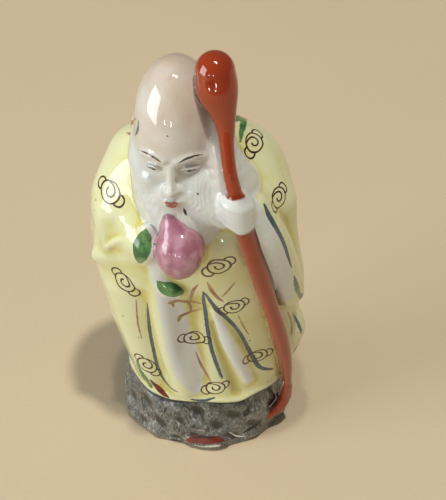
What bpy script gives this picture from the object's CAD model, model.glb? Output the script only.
# %% [markdown]
# # A glazed porcelain figure
# The object is a small slip-cast figure, about 104 mm tall. A bald old man with a long white beard holds a
# knobbed staff and a peach, and stands on a low rock. Slip casting makes one hollow piece with soft corners,
# and the glaze softens them again. This lesson makes that piece as one mesh and then paints it.
# The solid that comes with the frame has the right outline, but its faces are large. It is loaded first,
# because every later step is measured against it.

# %% The frame and the shared sizes
import itertools
import math

import bmesh
import bpy
import numpy as np
from mathutils import Matrix, Vector
from mathutils.bvhtree import BVHTree


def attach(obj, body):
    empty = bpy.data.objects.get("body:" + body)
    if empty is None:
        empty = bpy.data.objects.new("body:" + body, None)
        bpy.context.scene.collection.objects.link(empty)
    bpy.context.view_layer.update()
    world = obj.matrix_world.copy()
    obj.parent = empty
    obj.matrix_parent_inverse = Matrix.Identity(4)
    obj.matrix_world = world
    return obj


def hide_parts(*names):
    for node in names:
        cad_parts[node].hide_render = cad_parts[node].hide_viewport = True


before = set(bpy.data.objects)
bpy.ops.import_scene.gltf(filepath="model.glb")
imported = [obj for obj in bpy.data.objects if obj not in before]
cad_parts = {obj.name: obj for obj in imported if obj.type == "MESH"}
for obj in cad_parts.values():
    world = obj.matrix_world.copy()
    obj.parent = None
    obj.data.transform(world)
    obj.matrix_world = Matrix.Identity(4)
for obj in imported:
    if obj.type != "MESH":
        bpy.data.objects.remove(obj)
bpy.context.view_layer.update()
SOLID = "porcelain_figure"
MM = 0.001
AXIS = np.array([-0.39, 2.65, 0.0])  # the robe's upright axis, in the frame, in mm

# %% [markdown]
# ## The camera
# The photograph looks down on the figure at 45 degrees, from a little to its left, and it is slightly tipped.
# A camera could be placed by eye, but a fitted one lets a pixel of the photograph be followed back to the
# surface, so the painted marks can be put where they are seen. All forms are worked out in millimetres round
# the robe's axis, so the same camera is kept in those units too.

# %% The camera, in millimetres round the robe's axis
FRAME_WIDE, FRAME_HIGH = 446, 500
CAMERA_TURN, CAMERA_TILT, CAMERA_ROLL = math.radians(10), math.radians(45), math.radians(-3.5)
CAMERA_AWAY = 340
AIM = np.array([0.0, 0.0, 45.0])  # a point inside the robe, and the pixel where it is seen
AIM_PIXEL = (199, 256)
FOCAL_PIXELS = CAMERA_AWAY * 4.7
SENSOR = 36

camera_back = np.array([
    math.sin(CAMERA_TURN) * math.cos(CAMERA_TILT),
    -math.cos(CAMERA_TURN) * math.cos(CAMERA_TILT),
    math.sin(CAMERA_TILT),
])
level_right = np.array([math.cos(CAMERA_TURN), math.sin(CAMERA_TURN), 0])
level_up = np.cross(camera_back, level_right)
camera_right = math.cos(CAMERA_ROLL) * level_right + math.sin(CAMERA_ROLL) * level_up
camera_up = math.cos(CAMERA_ROLL) * level_up - math.sin(CAMERA_ROLL) * level_right
eye = AIM + camera_back * CAMERA_AWAY


def sight(x, y):
    """The direction in which the camera sees a pixel."""
    across = (x - AIM_PIXEL[0]) / FOCAL_PIXELS
    down = (y - AIM_PIXEL[1]) / FOCAL_PIXELS
    ray = across * camera_right - down * camera_up - camera_back
    return ray / np.linalg.norm(ray)


# %% The camera itself
forward = Vector(sight(FRAME_WIDE / 2, FRAME_HIGH / 2))
upward = Vector(camera_up) - Vector(camera_up).dot(forward) * forward
upward.normalize()
lens = bpy.data.cameras.new("camera")
lens.sensor_width = SENSOR
lens.lens = FOCAL_PIXELS / FRAME_HIGH * SENSOR
camera = bpy.data.objects.new("camera", lens)
camera.matrix_world = Matrix((forward.cross(upward), upward, -forward)).transposed().to_4x4()
camera.location = (eye + AXIS) * MM
bpy.context.scene.collection.objects.link(camera)
bpy.context.scene.camera = camera
print("camera lens", round(lens.lens, 1), "mm")

# %% [markdown]
# ## A surface from distances
# The figure is soft all over: the sleeve flows into the hand, and the beard into the robe. Boxes and spheres
# joined by booleans would leave hard seams. So each form is written as a distance, which is below zero inside
# it, and two distances are joined by a minimum that rounds the corner where they meet. The surface is then
# the place where the joined distance is zero.

# %% Joining and shaping distances
FAR = 5.0


def joined(a, b, blend):
    """The union of two distances, with the inner corner rounded over about blend millimetres."""
    overlap = np.clip(0.5 + 0.5 * (b - a) / blend, 0, 1)
    return b + (a - b) * overlap - blend * overlap * (1 - overlap)


def cut(a, b, blend):
    """The first distance with the second taken away."""
    return -joined(-a, b, blend)


def turned(x, y, z):
    """A rotation by three angles in degrees, about X last."""
    result = np.eye(3)
    for axis, angle in enumerate((x, y, z)):
        c, s = math.cos(math.radians(angle)), math.sin(math.radians(angle))
        j, k = (axis + 1) % 3, (axis + 2) % 3
        step = np.eye(3)
        step[j, j], step[j, k], step[k, j], step[k, k] = c, -s, s, c
        result = result @ step
    return result


def ramp(value, low, high):
    """Rises smoothly from 0 to 1 as the value goes from low to high."""
    t = np.clip((value - low) / (high - low), 0, 1)
    return t * t * (3 - 2 * t)


def bell(value, wide):
    return np.exp(-((value / wide) ** 2))


def near_box(p, low, high, distance):
    """A compact form's distance, worked out only for the points that lie close to its box."""
    result = np.full(len(p), FAR)
    close = np.all((p > np.array(low) - FAR) & (p < np.array(high) + FAR), axis=1)
    if close.any():
        result[close] = distance(p[close])
    return result


# %% An egg and a strand, from which most forms are made
def egg_distance(q, radii):
    radii = np.array(radii)
    k0 = np.linalg.norm(q / radii, axis=1)
    k1 = np.linalg.norm(q / radii**2, axis=1) + 1e-9
    return k0 * (k0 - 1) / k1


def egg(p, centre, radii, turn=(0, 0, 0)):
    """An egg, ball or pad with three radii."""
    centre, reach = np.array(centre), max(radii)
    rotation = turned(*turn)
    return near_box(p, centre - reach, centre + reach, lambda q: egg_distance((q - centre) @ rotation, radii))


def smooth_path(points, steps=4):
    """More points on the smooth curve through the given rows, whatever each row holds."""
    rows = np.array(points, float)
    rows = np.vstack([2 * rows[0] - rows[1], rows, 2 * rows[-1] - rows[-2]])
    t = np.linspace(0, 1, steps, endpoint=False)[:, None]
    parts = []
    for a, b, c, d in zip(rows, rows[1:], rows[2:], rows[3:]):
        parts.append(b + 0.5 * t * (c - a + t * (2 * a - 5 * b + 4 * c - d + t * (3 * (b - c) + d - a))))
    return np.vstack([*parts, rows[-2:-1]])


def strand(p, points, radii, flat=None):
    """A round-ended strand with a radius at each point, pressed flat along an axis where one is given."""
    path = smooth_path(np.column_stack([points, radii]))
    squeeze = np.eye(3)
    if flat:
        axis = np.array(flat[0]) / np.linalg.norm(flat[0])
        squeeze += (flat[1] - 1) * np.outer(axis, axis)
    centres, sizes = path[:, :3], path[:, 3]

    def distance(q):
        q, nodes = q @ squeeze, centres @ squeeze
        best = np.full(len(q), np.inf)
        for a, b, r, s in zip(nodes, nodes[1:], sizes, sizes[1:]):
            run = b - a
            t = np.clip((q - a) @ run / (run @ run), 0, 1)
            best = np.minimum(best, np.linalg.norm(q - a - t[:, None] * run, axis=1) - r - t * (s - r))
        return best / (1 + (flat[1] - 1) * 0.5 if flat else 1)

    reach = max(sizes)
    return near_box(p, centres.min(0) - reach, centres.max(0) + reach, distance)


# %% The list of forms, in the order in which they are joined
FORMS = []


def form(zone, blend, away=False):
    """Adds a distance function to the figure. Its zone says how it is painted later."""
    def keep(function):
        FORMS.append((zone, blend, away, function))
        return function
    return keep


def figure_distance(p):
    total = np.full(len(p), FAR)
    for _, blend, away, distance in FORMS:
        total = cut(total, distance(p), blend) if away else joined(total, distance(p), blend)
    return total


# %% [markdown]
# ## The robe
# A caster would turn the robe's core on a wheel and then press it out of round. The same idea works here: a
# rounded section whose half widths change with height, given for the left, right, front and back. Folds are
# ridges and furrows drawn on it between two places, each given by its bearing round the axis and its height.
# Bearing 0 is the front and 90 the side with the staff.

# %% A value by height, and a rounded section
def by_height(*pairs):
    """A smooth curve of a value over the height, from (height, value) pairs."""
    z, v = np.array(pairs, float).T
    above, below = np.r_[1:len(z), len(z) - 1], np.r_[0, 0:len(z) - 1]
    slope = (v[above] - v[below]) / (z[above] - z[below])

    def value(height):
        height = np.clip(height, z[0], z[-1])
        i = np.clip(np.searchsorted(z, height) - 1, 0, len(z) - 2)
        h = z[i + 1] - z[i]
        t = (height - z[i]) / h
        rise = (3 - 2 * t) * t * t
        bend = h * t * (1 - t) * ((1 - t) * slope[i] - t * slope[i + 1])
        return v[i] * (1 - rise) + v[i + 1] * rise + bend
    return value


def section(bearing, left, right, front, back, power):
    s, c = np.sin(bearing), np.cos(bearing)
    a = np.abs(s / np.where(s < 0, left, right)) ** power
    b = np.abs(c / np.where(c > 0, front, back)) ** power
    return (a + b) ** (-1 / power)


def round_axis(p):
    """Distance from the axis, bearing and height."""
    return np.hypot(p[:, 0], p[:, 1]), np.arctan2(p[:, 0], -p[:, 1]), p[:, 2]


# %% The robe's outline
HEM_HEIGHT = 13.6
ROBE_TOP = 85
SQUARENESS = 2.3
robe_left = by_height(
    (12, 14.8), (20, 17.5), (30, 19.9), (40, 21.5), (50, 22.2), (60, 21.8), (68, 18.9), (75, 14.4), (80, 10.6),
    (84, 7), (87, 4.2))
robe_right = by_height(
    (12, 17.8), (20, 20.3), (30, 21), (40, 21.2), (50, 21), (60, 20.6), (68, 19.3), (75, 15.7), (80, 10.8),
    (84, 6), (87, 3.6))
robe_front = by_height(
    (12, 14.6), (20, 14.2), (30, 14.2), (40, 14.4), (50, 14.6), (60, 14.2), (68, 12), (75, 9), (80, 6.5),
    (84, 4.5), (87, 3))
robe_back = by_height(
    (12, 13), (20, 13.2), (30, 14), (40, 15), (50, 15.5), (60, 15.5), (68, 14), (75, 11.3), (80, 8.5),
    (84, 5.8), (87, 4))


def robe_section(bearing, z):
    return section(bearing, robe_left(z), robe_right(z), robe_front(z), robe_back(z), SQUARENESS)


def hem(bearing):
    """The height of the robe's lower edge, which steps up beside the staff."""
    step_up = ramp(bearing, math.radians(34), math.radians(50)) * ramp(bearing, math.radians(110), math.radians(75))
    return HEM_HEIGHT + 0.35 * np.sin(5 * bearing + 1) + 1.5 * step_up


# %% Folds drawn on the robe
# Each runs from one (bearing, height) to another. It has a width, and a height that is below 0 in a furrow.
FOLDS = [
    ((-62, 67), (-66, 52), 2.0, 0.9),
    ((-66, 52), (-34, 58), 2.0, 0.9),
    ((-50, 62), (-52, 55), 3.0, -0.9),
    ((-16, 32), (-10, 16), 1.6, -0.5),
    ((20, 38), (34, 17), 1.7, -1.0),
    ((-38, 46), (-30, 17), 2.0, -0.8),
    ((-58, 44), (-46, 18), 3.0, 0.7),
    ((2, 46), (8, 20), 2.0, -0.9),
    ((12, 46), (44, 20), 2.2, -0.7),
    ((-98, 44), (-86, 17), 3.0, -0.7),
    ((-128, 58), (-122, 16), 3.2, -0.9),
    ((-158, 50), (-152, 16), 3.0, -0.8),
    ((176, 60), (178, 16), 3.4, -0.9),
    ((146, 52), (150, 16), 3.0, -0.8),
    ((118, 60), (120, 16), 3.2, -0.9),
]


def fold_height(bearing, z, radius):
    total = np.zeros(len(z))
    for start, end, wide, high in FOLDS:
        middle = math.radians((start[0] + end[0]) / 2)
        turn = (bearing - middle + np.pi) % (2 * np.pi) - np.pi
        x, run_x = turn * radius, math.radians(end[0] - start[0]) * radius
        x = x + run_x / 2
        y, run_y = z - start[1], end[1] - start[1]
        t = np.clip((x * run_x + y * run_y) / (run_x**2 + run_y**2), 0, 1)
        total += high * bell(np.hypot(x - t * run_x, y - t * run_y), wide)
    return total


@form("robe", 0.5)
def robe(p):
    r, bearing, z = round_axis(p)
    height = np.clip(z, 12, 87)
    plain = robe_section(bearing, height)
    slope = (robe_section(bearing, height + 0.5) - robe_section(bearing, height - 0.5)) / 1.0
    lip = 0.55 * bell(z - hem(bearing) - 0.9, 0.9)
    wall = (r - plain - fold_height(bearing, z, plain) - lip) / np.sqrt(1 + slope**2)
    return cut(cut(wall, z - hem(bearing), 1.2), ROBE_TOP - z, 2.0)


# %% [markdown]
# ## The rock
# The figure stands on a lump of rock that is wider at the ground. It is the same kind of section, pushed in
# and out by a few waves, and it draws in under the hem, where the mould leaves a groove. The wrinkled skin of
# the rock comes later, with Geometry Nodes, because it is too fine to draw by hand.

# %% The rock
BASE_HEIGHT = 15
BASE_SIDE, BASE_FRONT, BASE_BACK = 18.6, 16.2, 13.4


def rock_lumps(bearing, z):
    broad = 0.45 * np.sin(5 * bearing + 0.35 * z)
    middling = 0.35 * np.sin(9 * bearing - 0.5 * z + 1.3) * np.sin(0.45 * z + 0.6)
    return broad + middling + 0.25 * np.sin(14 * bearing + 0.8 * z + 2.1)


@form("rock", 0.4)
def rock(p):
    r, bearing, z = round_axis(p)
    side = BASE_SIDE - 0.1 * z
    plain = section(bearing, side, side, BASE_FRONT - 0.14 * z, BASE_BACK - 0.05 * z, 2.2)
    foot = np.clip(z / 1.5, 0, 1)
    seam = np.clip((BASE_HEIGHT - z) / 3, 0, 1)
    groove = 0.5 * bell(z - hem(bearing) + 0.5, 0.6)
    wall = (r - plain - rock_lumps(bearing, z) * foot * seam + 0.5 * (1 - foot) + groove) * 0.95
    return cut(wall, BASE_HEIGHT - z, 0.5)


@form("rock", 0.8)
def toe(p):
    return egg(p, (2.2, -15.1, 1.9), (4.8, 1.9, 1.7))


# %% [markdown]
# ## Sleeves, bands and collar
# Each upper arm swells from the shoulder and turns in towards a hand. The open end of the left sleeve hangs
# down and shows its white lining. Two white bands run down the front of the skirt, and the cloth swings out
# behind the staff. Cloth in porcelain is only a swelling, so a strand with a wide blend is enough.

# %% Cloth forms
@form("robe", 3.0)
def right_sleeve(p):
    return strand(p, [(-11.4, 2, 71), (-14.4, -4.6, 63.5), (-8, -12.5, 60.4)], [6.3, 5.8, 4])


@form("robe", 2.2, away=True)
def dent_in_sleeve(p):
    return egg(p, (-15.9, -13.4, 62.6), (2.6, 2.1, 3.6), (0, 20, -35))


@form("robe", 0.7)
def creases(p):
    upright = strand(p, [(-16.9, -8.8, 66.4), (-17.3, -9.4, 62), (-17.3, -10.2, 56.2)], [0.3, 0.6, 0.6])
    level = strand(p, [(-17.3, -10.2, 56.2), (-14, -12.2, 60.4), (-10.6, -13.5, 63.2)], [0.6, 0.6, 0.3])
    return np.minimum(upright, level)


@form("robe", 3.0)
def left_sleeve(p):
    return strand(p, [(10.4, 1.6, 71), (13.6, -4.4, 67.6), (12.4, -10.4, 70.4)], [7, 6.4, 4.4])


@form("robe", 2.0)
def hanging_sleeve(p):
    return strand(p, [(17, -4, 66), (18.2, -5, 57.5), (19.7, -5.8, 49), (20.5, -6, 42.6)], [4, 3.4, 3.1, 2.5])


@form("robe", 1.6)
def back_swing(p):
    return strand(p, [(18.2, -1.6, 34), (20, -2, 27.8), (18.4, -2.7, 20.6)], [1.6, 2.9, 2.4])


@form("robe", 2.0)
def chest_bump(p):
    return egg(p, (7.4, -11, 60.4), (4.6, 3.6, 5.2))


@form("robe", 1.2)
def front_band(p):
    return strand(p, [(-5.8, -12.6, 56), (-5.4, -12.2, 44), (-4.4, -11.8, 30), (-2.2, -12.2, 17)],
                  [2.4, 3, 3.5, 3.1])


@form("robe", 1.0)
def side_band(p):
    return strand(p, [(5, -13.4, 43), (8, -12.4, 32), (11, -11.2, 20)], [0.8, 2.2, 1.5])


@form("robe", 1.0)
def sleeve_lining(p):
    return strand(p, [(13.2, -12, 71.4), (15.4, -11.6, 65), (17.2, -10.2, 57.6), (18.8, -8.4, 49), (19.4, -7.4, 43)],
                  [3.4, 4.2, 4.2, 3.6, 2.8])


@form("collar", 0.8)
def collar(p):
    return strand(p, [(-8.2, -1, 77.6), (-7, 3.4, 81.4), (-1.4, 5.6, 83.4), (4.4, 3.8, 82), (8, -1.4, 78.6)],
                  [1.4, 1.7, 1.8, 1.7, 1.4])


# %% [markdown]
# ## Head, face and beard
# The head is bald and very tall. The face is a plain, calm one of my own, laid out on the thirds that drawing
# books teach: brow, base of the nose, chin. Eyes are a lid over a ball, half closed. The beard falls from
# long side whiskers. Painted lines will finish the face later, as on real porcelain.

# %% The head
HEAD_CENTRE = np.array([-2.0, -4.0, 84.5])
HEAD_RADII = np.array([8.4, 10.0, 15.5])
HEAD_NOD = -6


@form("head", 1.2)
def web(p):
    return strand(p, [(5.6, -4.6, 91), (6.6, -7.8, 83), (8.6, -9, 75)], [2.8, 3.6, 5.4])


@form("head", 1.0)
def skull(p):
    def distance(q):
        q = (q - HEAD_CENTRE) @ turned(HEAD_NOD, 0, 0)
        z = np.clip(q[:, 2] / HEAD_RADII[2], -1, 1)
        width = 1 - 0.08 * ramp(-z, 0.1, 0.9) + 0.06 * ramp(z, 0.2, 0.85) * (1 - z**8)
        return egg_distance(q / np.stack([width, np.ones_like(z), np.ones_like(z)], 1), HEAD_RADII)
    return near_box(p, HEAD_CENTRE - 17, HEAD_CENTRE + 17, distance)


# %% The face
FACE_X = HEAD_CENTRE[0]
BROW_LINE = 84.0
FACE_THIRD = 7.0
NOSE_LINE = BROW_LINE - FACE_THIRD
EYE_LINE = BROW_LINE - 0.35 * FACE_THIRD
MOUTH_LINE = NOSE_LINE - 0.33 * FACE_THIRD
EYE_OFFSET = 3.5
SIDES = (-1, 1)


def face_pair(blend, away=False):
    """Adds a form of the face twice, once on each side of the middle."""
    def keep(function):
        for side in SIDES:
            form("head", blend, away)(lambda p, side=side: function(p, side, lambda out: FACE_X + side * out))
        return function
    return keep


@face_pair(0.9)
def brow_ridge(p, side, x):
    return strand(p, [(x(1.3), -13.8, BROW_LINE), (x(3.8), -12.9, BROW_LINE + 0.5), (x(6), -11, BROW_LINE - 0.6)],
                  [0.6, 0.8, 0.5])


@face_pair(0.8, away=True)
def eye_socket(p, side, x):
    return egg(p, (x(3.4), -13.6, EYE_LINE + 0.1), (2.3, 1.1, 1.2), (0, 0, side * 20))


@face_pair(0.35)
def eyeball(p, side, x):
    return egg(p, (x(EYE_OFFSET), -12.35, EYE_LINE - 0.05), (1.75, 1.0, 0.95), (0, 0, side * 22))


@face_pair(0.3)
def upper_lid(p, side, x):
    return strand(
        p, [(x(1.75), -13.15, EYE_LINE - 0.15), (x(2.7), -13.45, EYE_LINE + 0.42),
            (x(3.9), -13.1, EYE_LINE + 0.42), (x(5.2), -12.0, EYE_LINE - 0.2)], [0.22, 0.34, 0.34, 0.2])


@face_pair(1.6)
def cheek(p, side, x):
    return egg(p, (x(4.2), -10.9, NOSE_LINE + 0.4), (2.5, 2.3, 2.2))


@face_pair(0.5)
def nostril(p, side, x):
    return egg(p, (x(1.1), -14.6, NOSE_LINE + 0.5), (0.8, 0.8, 0.7))


@face_pair(0.8)
def ear(p, side, x):
    return egg(p, (x(8.3), -3.5, EYE_LINE - 1.4), (1.3, 2.4, 6.2))


@face_pair(0.6, away=True)
def ear_hollow(p, side, x):
    return egg(p, (x(9.5), -4.4, EYE_LINE + 0.6), (0.8, 0.8, 2.6))


@form("head", 0.9)
def nose(p):
    return strand(
        p, [(FACE_X, -13.8, EYE_LINE + 1), (FACE_X, -14.8, EYE_LINE - 2), (FACE_X, -15.4, NOSE_LINE + 0.7)],
        [0.7, 0.9, 1.15])


@form("head", 1.4)
def muzzle(p):
    return egg(p, (FACE_X, -12, MOUTH_LINE - 0.2), (3.6, 3.5, 3.6))


@form("head", 0.35)
def lower_lip(p):
    return egg(p, (FACE_X, -15.3, MOUTH_LINE - 0.55), (1.3, 0.7, 0.5))


@face_pair(0.3)
def upper_lip(p, side, x):
    return egg(p, (x(0.6), -15.25, MOUTH_LINE + 0.35), (1.1, 0.6, 0.4), (0, side * 12, 0))


# %% The beard, in two locks
BEARD_FLAT = ((0, -1, 0.35), 1.8)


@form("beard", 1.4)
def main_lock(p):
    return strand(p, [(-2.2, -7, 78.6), (-1.2, -9.8, 71.8), (-0.2, -11.2, 67), (0.6, -12, 64.8)],
                  [9.3, 8.4, 6.2, 3.4], BEARD_FLAT)


@form("beard", 1.2)
def side_lock(p):
    return strand(p, [(2, -10.6, 75.4), (5.6, -11.6, 71.8), (7.6, -12.2, 69.6)], [4.6, 4, 3])


# %% [markdown]
# ## Staff, hand, peach and leaves
# These are crisp forms laid on the soft ones, so they are joined with a small blend. The staff has a long
# knob with a shallow dimple, a slim neck and a knotted shaft. Four fingers close round it. The peach has a
# cleft and a tip, and a leaf on each side.

# %% The staff
STAFF_PATH = [
    (6.2, -6.1, 100.4), (6.6, -7.1, 97), (7.6, -8.6, 93.8), (8.3, -10, 90.4), (8.7, -11.8, 86.8), (9.3, -13.6, 82),
    (10.4, -14.8, 77), (11.8, -15.9, 70.4), (13.3, -15.5, 62.9), (15, -14.2, 53.4), (16.8, -12.4, 42.8),
    (18.3, -10.4, 32.4), (19.3, -8.9, 22.8), (19.4, -7.6, 14),
]
STAFF_RADII = [3.8, 4, 2.8, 1.9, 1.4, 1.4, 1.5, 1.8, 1.95, 2, 1.75, 1.8, 1.4, 1]


@form("staff", 0.4)
def staff(p):
    return strand(p, STAFF_PATH, STAFF_RADII)


@form("staff", 0.4)
def staff_foot(p):
    return strand(p, [(19.3, -7.4, 13.5), (18.8, -6.6, 9), (17.4, -7.6, 6), (15.4, -9.4, 5)], [1.1, 1.3, 1.2, 0.6])


@form("staff", 1.2, away=True)
def knob_dimple(p):
    return egg(p, (6.0, -12.4, 101.0), (1.9, 1.9, 1.9))


# %% The hand on the staff
@form("white", 0.8)
def palm(p):
    return egg(p, (10.4, -14.2, 73.2), (3.8, 2.8, 3.7), (0, -20, 0))


@form("white", 1.2)
def heel_of_hand(p):
    return strand(p, [(10.6, -15.5, 75.4), (11.1, -15.7, 73), (11.7, -15.7, 70.6)], [2, 2.2, 2])


FINGERS = 4
FINGER_STEP = 1.5
for finger in range(FINGERS):
    @form("white", 0.9)
    def knuckles(p, top=75.7 - FINGER_STEP * finger):
        path = [(8, -14.6, top), (9.3, -16.6, top), (11.8, -17.0, top - 0.5), (13.2, -15.2, top - 0.9)]
        return strand(p, path, [0.9, 0.95, 0.9, 0.8])

# %% The peach, the hand under it and the leaves
PEACH_CENTRE = np.array([-1.1, -16.2, 62.2])
PEACH_RADII = np.array([4.8, 4.9, 6.0])


@form("white", 1.4)
def covered_hand(p):
    return egg(p, (-3.4, -12.6, 57.2), (4.8, 3.2, 3.4))


@form("peach", 0.35)
def peach(p):
    def distance(q):
        q = q - PEACH_CENTRE
        unit = q / PEACH_RADII
        unit = unit / (np.linalg.norm(unit, axis=1)[:, None] + 1e-9)
        x, y, z = unit.T
        cleft = 0.09 * bell(x + 0.15 - 0.2 * z, 0.16) * ramp(z - y, -0.2, 0.8)
        return egg_distance(q / (1 - cleft)[:, None], PEACH_RADII)
    return near_box(p, PEACH_CENTRE - 7, PEACH_CENTRE + 7, distance)


@form("peach", 1.6)
def peach_tip(p):
    return strand(p, [(-1.8, -15.4, 66.2), (-2.7, -14.6, 70)], [3, 0.8])


@form("leaf", 0.8)
def side_leaf(p):
    return egg(p, (-8.7, -14, 62.2), (2.1, 1.3, 5), (0, 14, -25))


@form("leaf", 0.8)
def lower_leaf(p):
    return egg(p, (-3.8, -15, 49.8), (2.9, 1.1, 2), (0, 12, -6))


# %% The ground and the firing vent
VENT_RADIUS, VENT_DEPTH = 2.5, 8


@form("foot", 0.5, away=True)
def below_ground(p):
    return p[:, 2]


@form("foot", 0.3, away=True)
def vent(p):
    return np.maximum(np.hypot(p[:, 0], p[:, 1]) - VENT_RADIUS, p[:, 2] - VENT_DEPTH)


print("forms", len(FORMS))

# %% [markdown]
# ## From distances to a mesh
# A surface net puts one vertex in each small cube that the surface crosses, and a quad round each cube edge
# that it crosses. The vertices are then evened out and slid down the slope of the distance until they lie on
# the surface, so that reflections run smoothly. Face and hands get one more division.

# %% Sampling the distance on a grid, finely only near the surface
GRID_STEP = 0.52


def doubled(values):
    for axis in range(3):
        rows = np.moveaxis(values, axis, 0)
        finer = np.empty((2 * len(rows) - 1, *rows.shape[1:]))
        finer[::2] = rows
        finer[1::2] = (rows[1:] + rows[:-1]) / 2
        values = np.moveaxis(finer, 0, axis)
    return values


def sampled(distance, low, high, step):
    ticks = [np.arange(a, b + 2 * step, 2 * step) for a, b in zip(low, high)]
    grid = np.stack(np.meshgrid(*ticks, indexing="ij"), -1)
    coarse = distance(grid.reshape(-1, 3)).reshape(grid.shape[:3])
    fine = doubled(coarse)
    near = np.abs(fine) < 3 * step
    fine[near] = distance(low + step * np.argwhere(near))
    return fine


# %% The surface net
def surface_net(values, low, step):
    cells = np.array(values.shape) - 1
    place, crossings = np.zeros((*cells, 3)), np.zeros(cells)
    for axis in range(3):
        for corner in itertools.product(*[(0,) if k == axis else (0, 1) for k in range(3)]):
            start, end = np.array(corner), np.array(corner) + np.eye(3, dtype=int)[axis]
            a = values[tuple(slice(s, s + n) for s, n in zip(start, cells))]
            b = values[tuple(slice(s, s + n) for s, n in zip(end, cells))]
            crosses = (a < 0) != (b < 0)
            crossings += crosses
            place += crosses[..., None] * start
            place[..., axis] += np.where(crosses, a / np.where(crosses, a - b, 1), 0)
    full = crossings > 0
    number = np.full(cells, -1)
    number[full] = np.arange(full.sum())
    points = low + step * (np.argwhere(full) + place[full] / crossings[full][:, None])
    quads = []
    for axis in range(3):
        u, v = np.eye(3, dtype=int)[(axis + 1) % 3], np.eye(3, dtype=int)[(axis + 2) % 3]
        change = np.diff((values < 0).astype(int), axis=axis)
        edges = np.argwhere(change)
        edges = edges[np.all(edges >= u + v, axis=1)]
        ring = np.stack([number[tuple((edges - s).T)] for s in (0 * u, u, u + v, v)], 1)
        inward = change[tuple(edges.T)] > 0
        ring[inward] = ring[inward][:, ::-1]
        quads.append(ring)
    return points, np.vstack(quads)


# %% Evening out and settling
def relaxed(points, edges, share=0.5):
    """Each point moves part of the way to the middle of its neighbours."""
    ends = np.concatenate([edges, edges[:, ::-1]])
    count = np.bincount(ends[:, 0], minlength=len(points))
    total = np.stack([np.bincount(ends[:, 0], points[ends[:, 1], k], len(points)) for k in range(3)], 1)
    return points + share * (total / count[:, None] - points)


def settled(points, probe=0.06, most=0.3):
    """Slides the points down the slope of the distance on to the surface."""
    corners = probe * np.array([(1, -1, -1), (-1, -1, 1), (-1, 1, -1), (1, 1, 1)])
    values = np.stack([figure_distance(points + c) for c in corners], 1)
    slope = values @ corners / (4 * probe**2)
    step = values.mean(1) / np.maximum((slope**2).sum(1), 0.25)
    return points - np.clip(step, -most, most)[:, None] * slope


low, high = np.array([-24.0, -23.0, -1.5]), np.array([25.0, 18.0, 106.0])
points, quads = surface_net(sampled(figure_distance, low, high, GRID_STEP), low, GRID_STEP)
print("surface net", len(points), "points", len(quads), "quads")

# %% One more division on the face, the hand and the peach
FINE_SPOTS = [((FACE_X, -13.5, 79), 8.5), ((10.6, -16, 73), 5.0)]

shape = bpy.data.meshes.new("figure")
shape.from_pydata(points.tolist(), [], quads.tolist())


def mesh_points(mesh):
    flat = np.empty(3 * len(mesh.vertices))
    mesh.vertices.foreach_get("co", flat)
    return flat.reshape(-1, 3)


def mesh_edges(mesh):
    flat = np.empty(2 * len(mesh.edges), int)
    mesh.edges.foreach_get("vertices", flat)
    return flat.reshape(-1, 2)


def even(mesh, rounds):
    points, edges = mesh_points(mesh), mesh_edges(mesh)
    for _ in range(rounds):
        points = settled(relaxed(points, edges))
    mesh.vertices.foreach_set("co", points.ravel())
    mesh.update()


even(shape, 2)
work = bmesh.new()
work.from_mesh(shape)
work.verts.ensure_lookup_table()
spots = [(Vector(c), r) for c, r in FINE_SPOTS]
inside = {v for v in work.verts if any((v.co - c).length < r for c, r in spots)}
bmesh.ops.subdivide_edges(
    work, edges=[e for e in work.edges if e.verts[0] in inside and e.verts[1] in inside], cuts=1,
    use_grid_fill=True)
work.to_mesh(shape)
work.free()
even(shape, 1)
shape.polygons.foreach_set("use_smooth", [True] * len(shape.polygons))
points = mesh_points(shape)
points[:, 2] = np.maximum(points[:, 2], 0)
shape.vertices.foreach_set("co", points.ravel())
shape.update()
normals = np.empty(3 * len(shape.vertices))
shape.vertices.foreach_get("normal", normals)
normals = normals.reshape(-1, 3)
print("figure", len(shape.vertices), "points,", sum(len(f.vertices) - 2 for f in shape.polygons), "triangles")

# %% [markdown]
# ## Where each colour goes
# A painter fills areas first: yellow robe, red staff, pink peach, grey rock. Textures wrapped round the
# figure would be one way, but the forms already know where they are. So every vertex stores its distance from
# the forms of each zone, and the material turns that distance into a crisp edge.

# %% Zone distances as attributes
def zone_distance(*zones):
    near = np.full(len(points), FAR)
    for name, _, away, distance in FORMS:
        if name in zones and not away:
            near = np.minimum(near, distance(points))
    return np.clip(near, -2, 2)


def store(name, *columns):
    """Keeps one number or three on every vertex."""
    kind = "FLOAT" if len(columns) == 1 else "FLOAT_VECTOR"
    data = np.stack(columns, 1).astype(np.float32)
    layer = shape.attributes.new(name, kind, "POINT")
    layer.data.foreach_set("value" if kind == "FLOAT" else "vector", data.ravel())


reach, bearing, height = round_axis(points)
above_hem = np.clip(height - hem(bearing), -5, 5)
store("zone_ground", above_hem, height, zone_distance("staff"))
store("zone_fruit", zone_distance("peach"), zone_distance("leaf"), zone_distance("collar"))
store("zone_head", zone_distance("head"), zone_distance("beard"), zone_distance("head", "beard", "white"))

# %% Hollows, where coloured glaze gathers
softer = points
for _ in range(14):
    softer = relaxed(softer, mesh_edges(shape))
hollow = np.clip(((softer - points) * normals).sum(1) / 0.12, -1, 1)
store("hollow", relaxed(hollow[:, None].repeat(3, 1), mesh_edges(shape))[:, 0])
print("deepest hollows on", int((hollow > 0.8).sum()), "vertices")

# %% [markdown]
# ## Brush strokes
# Thin lines are painted over the glaze with a pointed brush. A stroke could be a thin mesh laid on the
# figure, but paint has no edge that catches light. Instead every vertex near a stroke stores how far to the
# side of its middle line it lies, and how wide the brush is there. Those two numbers change evenly between
# vertices, so the material can draw an edge that is far finer than the mesh.
# Strokes that meet or cross go in different layers.

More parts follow.
